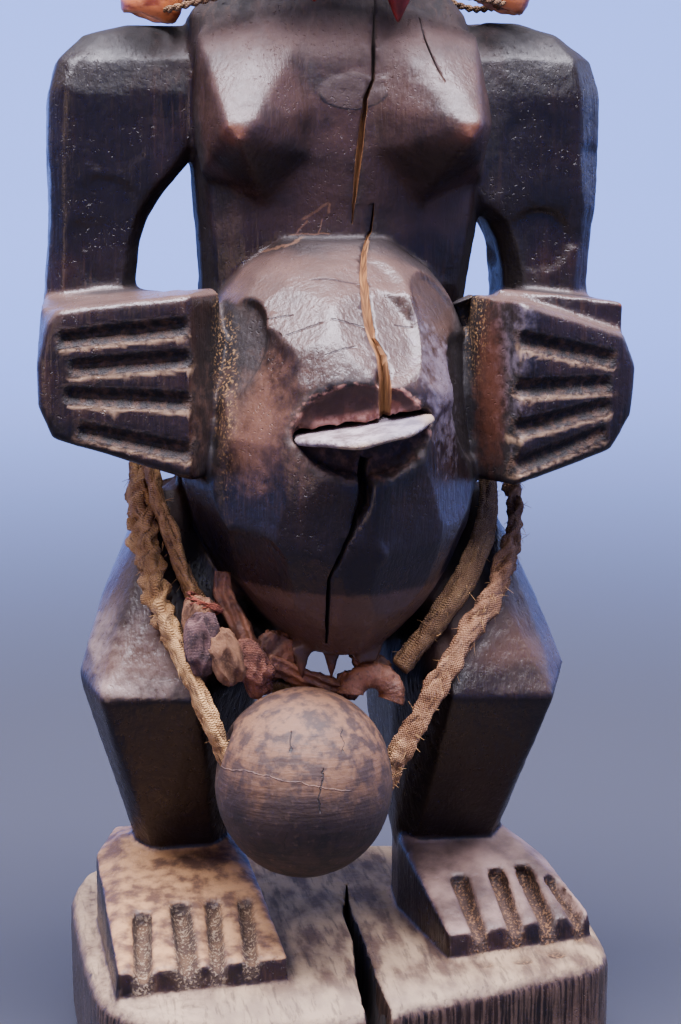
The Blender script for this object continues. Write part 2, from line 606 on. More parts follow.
def carved_wood():
    """Blackened oiled wood, worn to brown on its edges, dusty low down and pale in its cuts."""
    f = Finish("carved wood")
    wear, hollow, dust, up = f.mark("wear"), f.mark("hollow"), f.mark("dust"), f.mark("up")
    groove, lip = f.mark("groove"), f.mark("lip")
    mottle, fine = f.noise(12, 5), f.noise(2.0, 5, shift=4)
    grain = f.noise(1.0, 4, (1, 1, 0.06), shift=2)
    streaks = f.noise(4, 4, (1, 1, 0.1), shift=7)
    broad = f.noise(34, 3, shift=9)
    grit = f.noise(0.7, 2, shift=13)
    f.colour = f.paint(mottle.step(0.35, 0.68), (12, 7, 6), (32, 19, 15))
    f.coat(streaks.step(0.5, 0.75) * 0.25, (66, 44, 34))
    f.coat(broad.step(0.45, 0.66) * 0.45, (34, 24, 26))
    f.coat(grain.step(0.52, 0.74) * 0.2, (80, 56, 42))
    f.coat(up * f.z.step(262, 240) * (0.25 + mottle * 0.5), (104, 82, 74))
    # The chest is browner than the rest, the arms, hips and lower legs are nearly black
    chest = f.z.step(206, 216) * f.z.step(268, 258) * f.y.step(-10, -16)
    f.coat(chest * (mottle + 0.1).step(0.3, 0.7) * 0.7, (66, 46, 40))
    under_breast = f.z.step(236, 230) * f.z.step(212, 218) * f.y.step(-18, -23)
    f.coat(under_breast * 0.75, (13, 8, 8))
    arm = abs(f.x).step(43, 47) * f.z.step(200, 212)
    hip = f.z.step(142, 130) * f.z.step(104, 110) * f.y.step(-36, -30) * abs(f.x).step(46, 36)
    f.coat(arm.most(hip) * 0.75, (13, 8, 8))
    knee = f.x.step(-10, -20) * up * f.z.step(84, 90) * f.z.step(122, 112)
    f.coat(knee * (mottle + fine * 0.5).step(0.5, 0.9) * 0.75, (182, 158, 146))
    thigh = f.x.step(8, 16) * f.x.step(43, 38) * f.z.step(90, 96) * f.z.step(126, 116)
    f.coat(thigh * 0.6, (26, 17, 16))
    worn = (wear + (fine - 0.5) * 0.6).step(0.35, 0.8)
    f.coat(worn * 0.6, (112, 60, 34))
    dark = (hollow + (mottle - 0.5) * 0.35).step(0.3, 0.85)
    f.coat(dark * 0.85, (18, 12, 13))
    # Below the belly's widest line the wood is nearly black, and the shins are darker than the knees
    under = f.z.step(158, 138) * f.y.step(-14, -24) * abs(f.x).step(48, 40) * f.z.step(108, 122)
    f.coat(under * 0.7, (26, 19, 24))
    shin = f.z.step(97, 92) * f.z.step(50, 54)
    f.coat(shin * (0.85 - worn * 0.4), (24, 15, 16))
    # Dust: ochre on the left foot, grey-brown on the right one, beige on the base
    powder = (dust + (fine - 0.5) * 0.8 + (mottle - 0.5) * 0.7).step(0.3, 0.85)
    on_base = f.z.step(34, 31.5)
    ochre = f.paint(f.noise(5, 4, shift=5).step(0.35, 0.65), (80, 54, 38), (168, 126, 84))
    greyish = f.paint(mottle.step(0.3, 0.7), (62, 45, 39), (136, 110, 98))
    beige = f.paint(f.noise(5, 6, (1, 0.3, 1), shift=6).step(0.35, 0.65), (80, 60, 46), (150, 126, 98))
    beige = f.paint(f.y.step(-52, -74) * 0.6, beige, (142, 124, 104))
    lying = f.paint(f.x.step(10, 18), ochre, greyish)
    lying = f.paint(on_base, lying, beige)
    f.coat(powder * 0.85, lying)
    corner = on_base * f.x.step(-34, -44) * up
    f.coat(corner * fine.step(0.3, 0.6) * 0.35, (170, 144, 118))
    board = f.noise(1.1, 4, (1, 0.1, 1), shift=8).step(0.52, 0.68) * on_base
    f.coat(board * powder * 0.5, (46, 36, 32))
    side = f.z.step(29.5, 28) * grain.step(0.4, 0.6)
    f.coat(side * 0.4, (104, 82, 70))
    # The knot between the breasts, with a dark edge, and the worn orange tips of the breasts
    knot_x, knot_z = (f.x - 4) / 8.2, (f.z - 247) / 4.5
    knot = knot_x * knot_x + knot_z * knot_z + (fine - 0.5) * 0.5
    front = f.y.step(-14, -17)
    on_knot = knot.step(1.1, 0.9) * front
    f.coat(on_knot * 0.7, (50, 36, 33))
    below_knot = abs(knot - 1.02).step(0.13, 0.05) * front * f.z.step(247.5, 245)
    f.coat(below_knot * 0.9, (22, 14, 14))
    for tip in ((-27.6, -35.5, 236.4), (31.8, -36.3, 236.8)):
        f.coat(f.patch(tip, (3.6, 5.0, 2.6), 0.4, 0.6) * 0.5, (104, 60, 36))
    # The belly's band, the raw mouth of the cavity, and the dirt and reddish wood beside the hands
    band = (f.z + (fine - 0.5) * 2).step(128.2, 126.6) * f.y.step(-22, -30) * f.z.step(100, 106)
    f.coat(band * 0.6, (92, 66, 54))
    hole = f.distance(CAVITY_AT, CAVITY_REACH) + (fine - 0.5) * 0.16
    over = f.z.step(165, 168)
    red = f.paint(mottle.step(0.4, 0.62), (40, 18, 14), (104, 58, 40))
    flesh = f.paint(fine.step(0.35, 0.6), (112, 66, 54), (168, 124, 110))
    red = f.paint((f.z - f.x * 0.14).step(172.5, 170.5) * 0.8, red, flesh)
    red = f.paint(abs(hole - 0.93).step(0.12, 0.04) * mottle.step(0.35, 0.55) * 0.8, red, (26, 15, 13))
    f.coat(hole.step(1.05, 1.0) * over, red)
    scoop = f.paint(fine.step(0.45, 0.7), (34, 21, 17), (80, 56, 46))
    f.coat(hole.step(1.05, 1.0) * (1 - over) * 0.9, scoop)
    rim = abs(hole - 1.06).step(0.07, 0.02) * (mottle + 0.2).step(0.4, 0.7)
    f.coat(rim * over * 0.6 * f.noise(3, 3, shift=11).step(0.45, 0.6), (170, 120, 104))
    mouth = hole.step(1.22, 1.08)
    cheek = f.patch((30, -56, 182), (13, 14, 22), 0.9, 0.4)
    f.coat(cheek * 0.4, (128, 116, 128))
    cheek = f.patch((-25, -54, 168), (12, 16, 13), 0.9, 0.6)
    f.coat(cheek * mottle.step(0.3, 0.6) * 0.45, (124, 88, 70))
    for middle, reach in (((-30, -40, 182), (2.6, 10, 30)), ((33.5, -32, 190), (2, 9, 13))):
        dirt = f.patch(middle, reach, 0.8, 0.5) * grit.step(0.52, 0.66)
        f.coat(dirt * 0.6, (158, 122, 78))
    f.coat(f.patch((35.5, -42, 174), (2.8, 10, 18), 0.7, 0.6) * 0.65, (84, 44, 26))
    f.coat(lip * fine.step(0.2, 0.6) * 0.85, (150, 122, 96))
    cut = f.paint(fine.step(0.4, 0.75), (14, 9, 8), (72, 50, 36))
    f.coat(groove * f.z.step(120, 130) * 0.95, cut)
    speck = (grit + fine * 0.5).step(0.78, 0.86)
    gritty = f.paint(speck, (52, 38, 30), (116, 100, 82))
    rusty = f.paint(speck, (44, 28, 20), (104, 74, 48))
    f.coat(groove * f.z.step(60, 50) * 0.85, f.paint(f.x.step(0, 5), gritty, rusty))
    # Knife marks and scratches
    marks = f.strokes([
        ((-6.5, -54.7, 193.2), (2.1, -55.4, 192.2), 0.4), ((-17, -51, 188.6), (-7.6, -53.5, 192), 0.35),
        ((-7, -58, 184), (-1.5, -60, 187.3), 0.3), ((-22, -44, 192), (-14, -48, 193.5), 0.3),
        ((-9, -40, 200.5), (2, -44, 201), 0.35), ((11, -51, 192), (15, -49, 190.8), 0.3),
    ], (0, 0.85, -0.5), 0.3)
    f.coat(marks * 0.8, (40, 28, 28))
    for start, end, width in [
        ((-8.4, -19, 215), (-1.1, -19, 219.6), 0.55), ((-1.2, -19, 219.4), (-1.4, -19, 216.6), 0.5),
        ((-11.7, -19, 211.3), (-0.4, -19, 211.8), 0.35), ((-9.7, -19, 211.5), (-6.6, -19, 215.2), 0.4),
        ((-3.0, -18, 215.6), (-4.0, -18, 211.4), 0.3), ((-20.5, -19, 206.5), (-10, -24, 210), 0.4),
    ]:
        f.coat(f.stroke(start, end, (0, 1, 0), width * 0.8, 0.5, 9.0) * 0.7, (104, 74, 54))
    scratch = f.noise(0.9, 2, (1, 0.15, 1), shift=6).step(0.62, 0.72) * mottle.step(0.45, 0.6)
    shine = 0.25 + (1 - mottle) * 0.12 + powder * 0.22 + dark * 0.3 + f.z.step(250, 264) * 0.5
    shine = shine + chest * (broad * 0.2) + scratch * 0.12 + groove * 0.4 + mouth * 0.35 + on_base * up * 0.35
    shine = (shine + on_knot * 0.2 + (fine - 0.5) * 0.3).least(0.94)
    height = grain * 0.4 + fine * 0.45 + streaks * 0.35 - scratch * 0.25 - marks * 0.8 + groove * grit * 0.8
    return f.done(shine, f.relief(height, 0.6, 0.8), Specular_IOR_Level=0.36)


def cracked_wood():
    """Raw wood inside the cracks: orange-brown near the lips and dusty."""
    f = Finish("cracked wood")
    fibre = f.noise(2.2, 4, (1, 1, 0.2))
    deep = f.paint(fibre.step(0.4, 0.7), (16, 10, 9), (52, 32, 22))
    orange = f.paint(fibre.step(0.35, 0.7), (94, 58, 30), (160, 114, 66))
    f.colour = f.paint(f.z.step(163, 168) * f.z.step(256, 236), deep, orange)
    return f.done(0.85, f.relief(fibre, 0.3))


wood = carved_wood()
raw_wood = cracked_wood()

slim.materials.clear()
slim.materials.append(wood)
slim.materials.append(raw_wood)
for number, (name, (stations, into, depth)) in enumerate(CRACKS.items()):
    cutter = placed("cutter", crack_cutter(name, stations, into, depth, 40 + number), wood, raw_wood)
    for face in cutter.data.polygons:
        face.material_index = 1
    cut = {"operation": "DIFFERENCE", "solver": "MANIFOLD", "object": cutter}
    slim = finished(slim, ("BOOLEAN", cut))
    bpy.data.objects.remove(cutter)
slim.shade_smooth()
body = placed("carved_figure", slim)

# Marks stored on the points: worn edges, hollows, lying dust, what faces up, and the grooves
points = corners_of(body.data)
ends = read(body.data.edges, "vertices", 2, np.int32)
normals = outwards(body.data)
before = np.array([known.find(p)[1] for p in points])
solid = BVHTree.FromPolygons([v.co for v in body.data.vertices], [p.vertices[:] for p in body.data.polygons])
rays = unit(np.random.default_rng(2).normal(size=(9, 3)))
shut = np.zeros(len(points))
for i, (point, normal) in enumerate(zip(points, normals)):
    start = Vector((point + normal * 0.5) / 1000)
    hits = [solid.ray_cast(start, Vector(ray + normal * 1.05), 0.03)[0] for ray in rays]
    shut[i] = sum(hit is not None for hit in hits) / len(rays)
shut = averaged(shut, ends, 5)
z = points[:, 2]
up = step(normals[:, 2], 0.2, 0.8)
low = step(-z, -56, -50)
worn = step(bend[before], 0.05, 0.32)
marks = {
    "wear": worn * (1 - 0.5 * low),
    "hollow": np.clip(1.5 * shut, 0, 1) * (1 - low * 0.6),
    "dust": np.clip(low * (0.1 + 0.9 * up) + step(-bend[before], 0.08, 0.4) * 0.3, 0, 1),
    "up": up,
    "groove": groove[before],
    "lip": lip[before],
}
for name, values in marks.items():
    body.data.attributes.new(name, "FLOAT", "POINT").data.foreach_set("value", values)
stand_for(body, "figure")


# Hip cord: strips of old tan cotton twisted and plaited together, wound twice round the hips from the
# knot at the crotch. It is crumpled and wide at the left, thinner where it runs through the ball and
# back up, pinkish and frayed at the right, and dark where it lies against the belly.
CORD_THICK = 0.0072
HIP_STEP = 0.0007
STRANDS = 3
PLAIT_CYCLE = 0.019
FRAY_COUNT = 900
FRAY_REACH = 0.0026
FRAY_THICK = 0.00012
HIP_ROUTE = [
    (-0.0008, -0.0372, 0.0994), (-0.0155, -0.0345, 0.0994), (-0.0285, -0.0365, 0.107),
    (-0.037, -0.0322, 0.121), (-0.0438, -0.0195, 0.14), (-0.0458, -0.0095, 0.149),
    (-0.0435, 0.017, 0.1605), (-0.036, 0.0275, 0.163), (-0.02, 0.0315, 0.1625), (0, 0.033, 0.158),
    (0.02, 0.036, 0.1535), (0.036, 0.033, 0.1515), (0.046, 0.018, 0.1505), (0.0495, 0.003, 0.1475),
    (0.049, -0.01, 0.141), (0.0455, -0.0215, 0.131), (0.0385, -0.032, 0.121), (0.03, -0.0388, 0.111),
    (0.014, -0.047, 0.088), (0.004, -0.048, 0.0715), (-0.006, -0.048, 0.067), (-0.016, -0.048, 0.068),
    (-0.0255, -0.048, 0.0745), (-0.0365, -0.0455, 0.097), (-0.0415, -0.04, 0.109),
    (-0.046, -0.032, 0.12), (-0.0495, -0.009, 0.1435), (-0.046, 0.018, 0.15), (-0.037, 0.033, 0.152),
    (-0.02, 0.0385, 0.155), (0, 0.041, 0.1585), (0.02, 0.0355, 0.1615), (0.035, 0.0285, 0.1635),
    (0.043, 0.016, 0.162), (0.0442, 0.003, 0.1575), (0.042, -0.0085, 0.15), (0.04, -0.0175, 0.141),
    (0.036, -0.026, 0.132), (0.0295, -0.0328, 0.122), (0.0138, -0.0385, 0.104),
]
# How the strips change along the route: the route point, then width in mm, pinkness, darkness and how
# clearly they are plaited (0 is one folded strip)
CORD_STATES = [
    (0, 5.0, 0.1, 0.5, 0.3), (2, 5.4, 0.1, 0.3, 0.3), (4, 6.4, 0.2, 0.15, 0.2), (7, 7.0, 0.2, 0.4, 0.5),
    (12, 7.0, 0.6, 0.4, 0.8), (14, 6.6, 0.9, 0.45, 0.6), (16, 6.8, 1.0, 0.2, 0.5),
    (18, 6.0, 0.8, 0.1, 0.4), (20, 5.2, 0.3, 0.2, 0.3), (23, 5.4, 0.0, 0.0, 0.05),
    (24, 5.8, 0.0, 0.05, 0.1), (25, 8.6, 0.0, 0.1, 0.75), (26, 9.0, 0.1, 0.1, 0.35),
    (27, 8.4, 0.2, 0.6, 0.3), (30, 7.0, 0.2, 0.6, 0.8), (34, 6.8, 0.2, 0.9, 0.3),
    (36, 7.0, 0.1, 0.95, 0.05), (39, 6.4, 0.1, 0.8, 0.05),
]


def smooth_line(route, step_m):
    """Points at even steps on one smooth curve through the route."""
    knots = np.array(route, float)
    knots = np.vstack([2 * knots[0] - knots[1], knots, 2 * knots[-1] - knots[-2]])
    gaps = np.maximum(np.linalg.norm(np.diff(knots, axis=0), axis=1) ** 0.5, 1e-6)
    times = np.concatenate([[0], np.cumsum(gaps)])
    dense = []
    for k in range(1, len(knots) - 2):
        t = np.linspace(times[k], times[k + 1], 24, endpoint=False)[:, None]
        level = list(knots[k - 1:k + 3])
        for first in (((0, 1), (1, 2), (2, 3)), ((0, 2), (1, 3)), ((1, 2),)):
            level = [
                ((times[k - 1 + high] - t) * level[i] + (t - times[k - 1 + low]) * level[i + 1])
                / (times[k - 1 + high] - times[k - 1 + low])
                for i, (low, high) in enumerate(first)
            ]
        dense.append(level[0])
    dense = np.vstack(dense + [knots[-2:-1]])
    run = run_along(dense)
    at = np.linspace(0, run[-1], max(2, int(run[-1] / step_m)) + 1)
    return np.stack([np.interp(at, run, dense[:, k]) for k in range(3)], 1)


def frames_on(line, away_from):
    """For each point of a line: its way, the side that faces away from a middle line, and the third."""
    way = unit(np.gradient(line, axis=0))
    out = line - away_from
    out -= way * (out * way).sum(1, keepdims=True)
    out = np.where(np.linalg.norm(out, axis=1, keepdims=True) > 1e-6, out, np.array([0, -1, 0.0]))
    out = unit(out)
    return way, out, np.cross(way, out)


def strand(work, line, axes, widths, thicknesses, turn, layers, values, sides=14):
    """Adds one closed flattened strand to a mesh, with values stored on its points."""
    _, out, side = axes
    rings = []
    for k, centre in enumerate(line):
        ring = []
        c, s = math.cos(turn[k]), math.sin(turn[k])
        flat, thick = c * side[k] + s * out[k], -s * side[k] + c * out[k]
        for a in round_turns(sides):
            ca, sa = math.cos(a), math.sin(a)
            reach = (abs(ca) ** 2.6 + abs(sa) ** 2.6) ** (-1 / 2.6)
            aside, above = ca * reach * widths[k] / 2, sa * reach * thicknesses[k] / 2
            vert = work.verts.new(centre + flat * aside + thick * above)
            for layer, value in zip(layers, values):
                vert[layer] = float(value[k])
            vert[layers[-1]] = aside * 1000
            ring.append(vert)
        rings.append(ring)
    bridged(work, rings)


def plait(work, line, axes, widths, open_by, layers, values, seed):
    """Adds the crumpled strands of a flat plait along a line. They lie as one strip where it is not open."""
    dice = np.random.default_rng(seed)
    run = values[0]
    slow = np.sin(run * 55 + 1) * 0.5 + np.sin(run * 23 + 3) * 0.5
    for number in range(STRANDS):
        phase = 2 * math.pi * (run / PLAIT_CYCLE + number / STRANDS) + 0.7 * slow
        aside = widths * 0.2 * open_by * np.sin(phase)
        outward = widths * (0.14 * open_by * np.sin(2 * phase) + (1 - open_by) * 0.12 * (number - 1))
        centre = line + axes[2] * aside[:, None] + axes[1] * outward[:, None]
        uneven = 1 + 0.1 * np.sin(run * 190 + number * 2) + 0.08 * np.sin(run * 410 + number * 5)
        turn = 0.7 * open_by * np.cos(phase) + 0.25 * np.sin(run * 90 + number) + 0.35 * np.sin(run * 37)
        shade = np.full(len(run), number / STRANDS + dice.uniform(0, 0.2))
        wide = widths * (1.0 - 0.34 * open_by - 0.1 * (1 - open_by) * number) * uneven
        strand(work, centre, axes, wide, widths * 0.36 * (2 - uneven), turn, layers, [*values, shade])


def frays(work, line, axes, shade_layer, seed, spots):
    """Adds thin loose fibres that stand out of a cord's sides."""
    dice = np.random.default_rng(seed)
    way, out, side = axes
    for k in spots:
        angle = dice.uniform(0, 2 * math.pi)
        away = side[k] * math.cos(angle) + out[k] * math.sin(angle) * 0.8
        start = line[k] + away * CORD_THICK * 0.33
        heading = away * dice.uniform(0.2, 0.9) + way[k] * dice.normal(0, 0.8) + np.array([0, 0, -0.25])
        heading = unit(heading)
        long = dice.uniform(0.25, 1) * FRAY_REACH
        droop = np.array([0, 0, -1.0]) * long * dice.uniform(0.0, 0.5)
        curl = dice.normal(0, 0.25, 3) * long
        rings = []
        for share in (0, 0.35, 0.7, 1):
            centre = start + heading * long * share + (droop + curl) * share * share
            stray = centre - line[k]
            centre = line[k] + stray * min(1, CORD_THICK * 0.8 / np.linalg.norm(stray))
            across = np.cross(heading, way[k])
            across /= max(np.linalg.norm(across), 1e-6)
            third = np.cross(heading, across)
            ring = []
            thick = FRAY_THICK * (1 - 0.6 * share)
            for a in round_turns(3):
                ring.append(work.verts.new(centre + (across * math.cos(a) + third * math.sin(a)) * thick))
                ring[-1][shade_layer] = 1.0
            rings.append(ring)
        bridged(work, rings)


def cord_cloth():
    """Dirty tan cotton, woven fine, creased along its strips, pink or dark in places."""
    f = Finish("cord cloth")
    run, pink, dark, shade, across = (f.mark(n) for n in ("run", "pink", "dark", "shade", "across"))
    long = run * 1000
    on_strip = f.node("ShaderNodeCombineXYZ", {0: long * 0.16, 1: across * 0.9, 2: shade * 40})
    folds = {"Vector": on_strip, "Scale": 1.0, "Detail": 4.0, "Roughness": 0.6}
    crease = f.node("ShaderNodeTexNoise", folds, out="Fac")
    weave = (long * 9.5).maths("SINE", long * 9.5) * (across * 9.5).maths("SINE", across * 9.5)
    patch, fibre = f.noise(5, 4), f.noise(0.5, 3, shift=5)
    f.colour = f.paint(patch.step(0.3, 0.7), (146, 104, 60), (204, 160, 104))
    f.coat(pink * 0.75, f.paint(patch.step(0.3, 0.7), (112, 72, 52), (158, 108, 82)))
    f.coat(dark * 0.8, (74, 50, 32))
    f.coat(crease.step(0.5, 0.3) * 0.85, (60, 36, 22))
    f.coat(f.noise(3, 5, shift=8).step(0.55, 0.75) * 0.5, (92, 62, 42))
    f.coat(fibre.step(0.55, 0.75) * 0.35, (200, 168, 126))
    height = weave * 0.3 + fibre * 0.4 + crease * 2.0 + patch * 0.4
    return f.done(0.92, f.relief(height, 0.5, 0.9))


def crumpled(mesh, seed, length_mm, depth_mm, stretch=(1, 1, 1)):
    """Pushes a mesh's points in and out, as in crumpled cloth."""
    points = corners_of(mesh)
    ridges = np.abs(waves(points, length_mm, seed, 3, stretch)) - 0.4
    put_corners(mesh, points - outwards(mesh) * (ridges * depth_mm)[:, None])


hip_line = smooth_line(HIP_ROUTE, HIP_STEP)
hip_axes = frames_on(hip_line, hip_line * np.array([0, 0, 1]) + np.array([-0.002, 0, 0]))
hip_run = run_along(hip_line)
route_run = [hip_run[np.linalg.norm(hip_line - np.array(spot), axis=1).argmin()] for spot in HIP_ROUTE]
states = np.array(CORD_STATES)
at_states = [route_run[int(k)] for k in states[:, 0]]
wide, pink, dark, open_by = (np.interp(hip_run, at_states, states[:, c]) for c in (1, 2, 3, 4))
work = bmesh.new()
layers = [work.verts.layers.float.new(name) for name in ("run", "pink", "dark", "shade", "across")]
plait(work, hip_line, hip_axes, wide / 1000, open_by, layers, [hip_run, pink, dark], 5)
bmesh.ops.recalc_face_normals(work, faces=work.faces)
cord_mesh = bpy.data.meshes.new("hip cord")
work.to_mesh(cord_mesh)
tree = tree_of(hip_line * 1000)
state = np.array([tree.find(spot)[1] for spot in corners_of(cord_mesh)])
crumpled(cord_mesh, 61, 4.5, (0.45 + 0.5 * open_by + 0.25 * np.clip(wide - 7, 0, 2))[state])
for vert, spot in zip(work.verts, corners_of(cord_mesh)):
    vert.co = spot / 1000
dice = np.random.default_rng(6)
chance = 0.3 + pink * 1.6 + (wide > 8) * 1.0
chance = chance[2:-2] / chance[2:-2].sum()
spots = dice.choice(np.arange(2, len(hip_line) - 2), FRAY_COUNT, p=chance)
frays(work, hip_line, hip_axes, layers[3], 7, spots)
bmesh.ops.recalc_face_normals(work, faces=work.faces)
work.to_mesh(cord_mesh)
work.free()
cord_mesh.shade_smooth()
cloth = cord_cloth()
hip_cord = stand_for(placed("plaited_hip_cord", cord_mesh, cloth), "hip_cord")


# Ball: turned hardwood, grey-brown and rubbed on top, stained dark below, with short drying cracks and a
# wavy seam in its skin. The cord goes in at its left side and comes out at its right.
BALL_R = 22.0
BALL_AT = (-12.2, -48.6, 78.5)
BALL_STRETCH = (1, 1, 1.07)
BORE_R = 4.7

ball_work = bmesh.new()
bmesh.ops.create_icosphere(ball_work, subdivisions=6, radius=BALL_R / 1000)
ball_mesh = meshed("ball", ball_work)
shape = corners_of(ball_mesh)
out = shape / BALL_R
shape = shape * BALL_STRETCH + BALL_AT
bump_out = 0.14 * waves(shape, 26, 21, 2) + 0.05 * waves(shape, 5, 22)
tree = tree_of(hip_line * 1000)
bore = np.array([tree.find(spot)[2] for spot in shape])
bump_out -= 3.2 * step(-bore, -BORE_R, -3.3) + 0.3 * step(-bore, -6.2, -4.4)
put_corners(ball_mesh, shape + out * bump_out[:, None])
ball_mesh.attributes.new("bore", "FLOAT", "POINT").data.foreach_set("value", step(-bore, -6.5, -3.8))


def ball_wood():
    """Grey-brown rubbed wood over a purple-black stain, mottled, with fine dark cracks."""
    f = Finish("ball wood")
    patch, fine = f.noise(11, 5, shift=3), f.noise(1.6, 5)
    turned = f.noise(1.4, 3, (0.12, 0.12, 1), shift=9)
    height = (f.z - BALL_AT[2]) / BALL_R + (patch - 0.5) * 1.1
    f.colour = f.paint(height.step(-0.5, 0.8), (10, 6, 9), (110, 76, 52))
    f.coat(f.noise(4, 5, shift=7).step(0.42, 0.6) * 0.85, (40, 25, 23))
    f.coat(f.noise(2.2, 5, (1, 1, 0.3), shift=5).step(0.5, 0.68) * 0.6, (46, 30, 28))
    f.coat(turned.step(0.5, 0.7) * 0.25, (56, 40, 40))
    f.coat(fine.step(0.55, 0.8) * 0.3, (126, 98, 84))
    lines = f.strokes([
        ((-17.0, -63.4, 95.6), (-17.9, -66.4, 90.6), 0.2),
        ((-10.3, -68.9, 87.6), (-11.4, -70.2, 82.6), 0.2),
        ((-11.4, -70.2, 83.2), (-11.2, -70.5, 76.8), 0.24),
        ((-18.9, -68.6, 72.2), (-19.2, -66.7, 67.2), 0.18),
        ((-4.6, -62.2, 95.1), (-5.1, -66.3, 90.3), 0.14),
    ], (0, 1, 0), 1.1)
    wave = [
        (-33.5, -50.7, 84.1), (-28.4, -61.8, 85.8), (-22.8, -66.7, 85.5), (-19.6, -68.5, 84.5),
        (-15.5, -69.6, 84.5), (-13.6, -70, 83.7), (-9.1, -70, 82.5), (-3.1, -68.4, 81.4),
    ]
    seam = f.strokes([(start, end, 0.2) for start, end in zip(wave, wave[1:])], (0, 1, 0), 0.5)
    f.coat(seam * 0.15, (150, 120, 110))
    f.coat(lines * 0.9, (20, 13, 13))
    f.coat(f.mark("bore") * 0.7, (34, 22, 18))
    relief = fine * 0.3 + turned * 0.4 - lines * 0.9 + seam * 0.3
    return f.done(0.58 + patch * 0.1 + fine * 0.15, f.relief(relief, 0.6, 0.9))


ball = stand_for(placed("pendant_ball_turned", ball_mesh, ball_wood()), "pendant_ball")


# Plate: a thin uneven disc of pale grey material, wedged edge-on in the belly's cavity, its right end
# higher. Its front edge droops, and the edge is yellowed underneath.
PLATE_R = 17.3
PLATE_AT = (0.4, -60.0, 167.5)
PLATE_TILT = -0.14
PLATE_SIDES = 120
# How far in from the rim each ring of points lies, and how high, from the top round to the underside
PLATE_EDGE = [
    (9, 0.95), (4, 1.0), (1.6, 0.95), (0.5, 0.7), (0.05, 0.25), (0.0, -0.25), (0.4, -0.75), (1.4, -1.0),
    (4, -1.0), (9, -1.0),
]

plate_work = bmesh.new()
dice = np.random.default_rng(14)
turns = round_turns(PLATE_SIDES)
uneven = 0.25 * np.sin(3 * turns + 1) + 0.2 * np.sin(7 * turns + 2) + 0.12 * np.sin(17 * turns)
uneven += dice.normal(0, 0.07, PLATE_SIDES)


def leaned(along_x, along_z, angle):
    """Two measures of a place, after it is turned by an angle in their plane."""
    c, s = math.cos(angle), math.sin(angle)
    return along_x * c + along_z * s, along_z * c - along_x * s


def plate_point(radius, turn, height):
    """A point of the plate, given from its middle."""
    px, py = radius * math.cos(turn), radius * math.sin(turn)
    forward = max(0.0, -py / PLATE_R)
    droop = 1.5 * forward ** 1.5 * (1 - (px / PLATE_R) ** 2)
    pz = height - droop + 0.25 * math.sin(px * 0.45) * forward
    px, pz = leaned(px, pz, PLATE_TILT)
    return (Vector((px, py, pz)) + Vector(PLATE_AT)) / 1000


rows = []
rim = PLATE_R - 0.3
for inset, height in PLATE_EDGE:
    reaches = rim - inset + uneven * (1 if inset < 2 else 0.4)
    rows.append([plate_work.verts.new(plate_point(reaches[k], turns[k], height)) for k in range(PLATE_SIDES)])
bridged(plate_work, rows, capped=False)
for row, height in ((rows[0], 0.95), (rows[-1], -1.0)):
    middle = plate_work.verts.new(plate_point(0, 0, height))
    for k in range(PLATE_SIDES):
        plate_work.faces.new((middle, row[k], row[(k + 1) % PLATE_SIDES]))


def pale_plate():
    """Chalky pinkish white with a rough skin, stained in spots, and a yellowed lower edge."""
    f = Finish("pale plate")
    fine, patch = f.noise(1.3, 5), f.noise(5, 4, shift=3)
    f.colour = f.paint(patch.step(0.35, 0.65), (92, 78, 78), (146, 132, 134))
    f.coat(fine.step(0.5, 0.7) * 0.6, (70, 56, 50))
    f.coat(f.x.step(-2, 10) * 0.5, (92, 88, 104))
    under = (f.z + f.x * PLATE_TILT - 168).step(-1.0, -2.4)
    f.coat(under * patch.step(0.3, 0.6) * 0.8, (158, 130, 82))
    f.coat(f.x.step(12, 16.5) * 0.6, (150, 124, 88))
    return f.done(0.6, f.relief(fine + patch, 0.6, 0.9))


stand_for(placed("pale_belly_plate", meshed("plate", plate_work), pale_plate()), "belly_plate")


# Knot: a strip of brown hide rolled over the two ends of the cord at the crotch, open below, with a
# second fold of the same hide behind it.
STRIP_POINTS = 15
LUMP_DETAIL = 5


def hide():
    """Orange-brown hide, rubbed pale on its bulge and dark in its folds."""
    f = Finish("brown hide")
    patch, fine = f.noise(6, 4), f.noise(1.0, 4, shift=2)
    f.colour = f.paint(patch.step(0.3, 0.65), (70, 40, 26), (138, 88, 60))
    f.coat(fine.step(0.5, 0.7) * 0.5, (48, 28, 20))
    return f.done(0.5 + patch * 0.15, f.relief(fine + patch, 0.5, 0.8))


def ribbon(work, spine, wide_way, widths, thick, folds=0.0):
    """Adds a closed strip of hide or cloth that follows a spine, as wide as given along a way."""
    spine = np.array(spine, float)
    way = unit(np.gradient(spine, axis=0))
    rings = []
    for k, centre in enumerate(spine):
        wide = np.array(wide_way, float)
        wide = unit(wide - way[k] * (wide @ way[k]))
        normal = np.cross(way[k], wide)
        ring = []
        for side in [*np.linspace(-1, 1, STRIP_POINTS), *np.linspace(1, -1, STRIP_POINTS)[1:-1]]:
            upper = 1 if len(ring) < STRIP_POINTS else -1
            bulge = upper * thick / 2 * (1 - side ** 6) + folds * math.sin(side * 7 + k * 0.12)
            ring.append(work.verts.new((centre + wide * side * widths[k] / 2 + normal * bulge) / 1000))
        rings.append(ring)
    bridged(work, rings)


